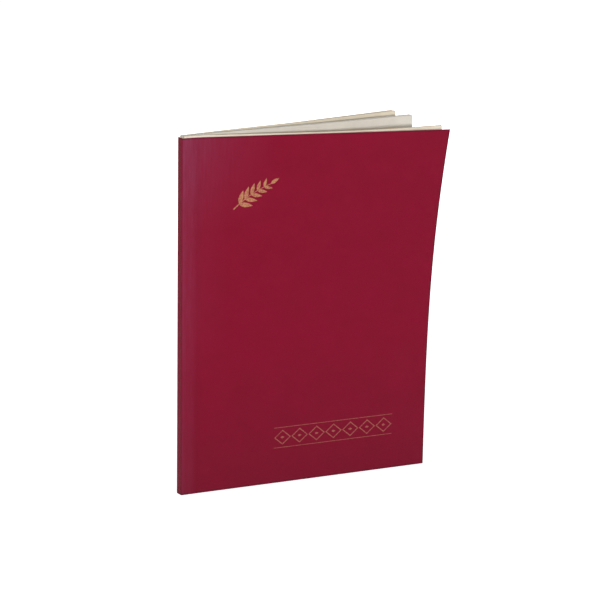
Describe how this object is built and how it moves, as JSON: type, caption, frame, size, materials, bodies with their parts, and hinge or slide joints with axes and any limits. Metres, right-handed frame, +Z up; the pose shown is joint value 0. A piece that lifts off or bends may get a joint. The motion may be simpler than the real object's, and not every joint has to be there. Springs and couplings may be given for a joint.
{
  "type": "ledger book",
  "caption": "Thin upright ledger book with a flexible cloth-covered binding, sewn ruled leaves in hinged bunches, and front and back covers that open.",
  "frame": {"origin": "foot of the spine, in the middle of the spine board", "axes": "+X from the spine to the fore edge of the closed book, +Y towards the back cover, +Z up the spine from tail to head"},
  "size_m": [0.21, 0.0915, 0.28],
  "materials": {
    "book_cloth": "burgundy coated book cloth with a fine grain, satin",
    "cover_card": "cream-grey card, cut edges bare",
    "ledger_paper": "cream writing paper, matt",
    "endpaper": "heavier cream paper, matt",
    "sewing_thread": "unbleached linen thread",
    "mull": "open cotton gauze",
    "glue": "dried bookbinding glue"
  },
  "bodies": {
    "spine": {"spine_cloth": "book_cloth", "spine_board": "cover_card", "spine_mull": "mull", "spine_glue": "glue", "section_2_sheet_1": "ledger_paper", "section_2_sheet_2": "ledger_paper", "section_2_sheet_3": "ledger_paper", "section_2_sheet_4": "ledger_paper", "section_2_sheet_5": "ledger_paper", "section_2_thread": "sewing_thread", "section_3_sheet_1": "ledger_paper", "section_3_sheet_2": "ledger_paper", "section_3_sheet_3": "ledger_paper", "section_3_sheet_4": "ledger_paper", "section_3_sheet_5": "ledger_paper", "section_3_thread": "sewing_thread"},
    "front_leaves": {"section_1_sheet_1": "ledger_paper", "section_1_sheet_2": "ledger_paper", "section_1_sheet_3": "ledger_paper", "section_1_sheet_4": "ledger_paper", "section_1_sheet_5": "ledger_paper", "section_1_thread": "sewing_thread", "front_endpaper": "endpaper", "front_hinge_cloth": "book_cloth", "front_hinge_board": "cover_card"},
    "front_cover": {"front_cover_cloth": "book_cloth", "front_cover_board": "cover_card", "front_pastedown": "endpaper"},
    "back_leaves": {"section_4_sheet_1": "ledger_paper", "section_4_sheet_2": "ledger_paper", "section_4_sheet_3": "ledger_paper", "section_4_sheet_4": "ledger_paper", "section_4_sheet_5": "ledger_paper", "section_4_thread": "sewing_thread", "back_endpaper": "endpaper", "back_hinge_cloth": "book_cloth", "back_hinge_board": "cover_card"},
    "back_cover": {"back_cover_cloth": "book_cloth", "back_cover_board": "cover_card", "back_pastedown": "endpaper"}
  },
  "joints": [
    {"name": "front_leaves_turn", "type": "hinge", "parent": "spine", "child": "front_leaves", "pos_m": [-0.00016, -0.00345, 0], "axis": [0, 0, -1], "range_deg": [-7, 72.5]},
    {"name": "front_cover_hinge", "type": "hinge", "parent": "front_leaves", "child": "front_cover", "pos_m": [0.01045, -0.00511, 0], "axis": [0, 0, -1], "range_deg": [-0.1, 94.4]},
    {"name": "back_leaves_turn", "type": "hinge", "parent": "spine", "child": "back_leaves", "pos_m": [-0.00016, 0.00345, 0], "axis": [0, 0, 1], "range_deg": [-4.8, 74.7]},
    {"name": "back_cover_hinge", "type": "hinge", "parent": "back_leaves", "child": "back_cover", "pos_m": [0.0105, 0.0047, 0], "axis": [0, 0, 1], "range_deg": [-0.1, 94.4]}
  ]
}
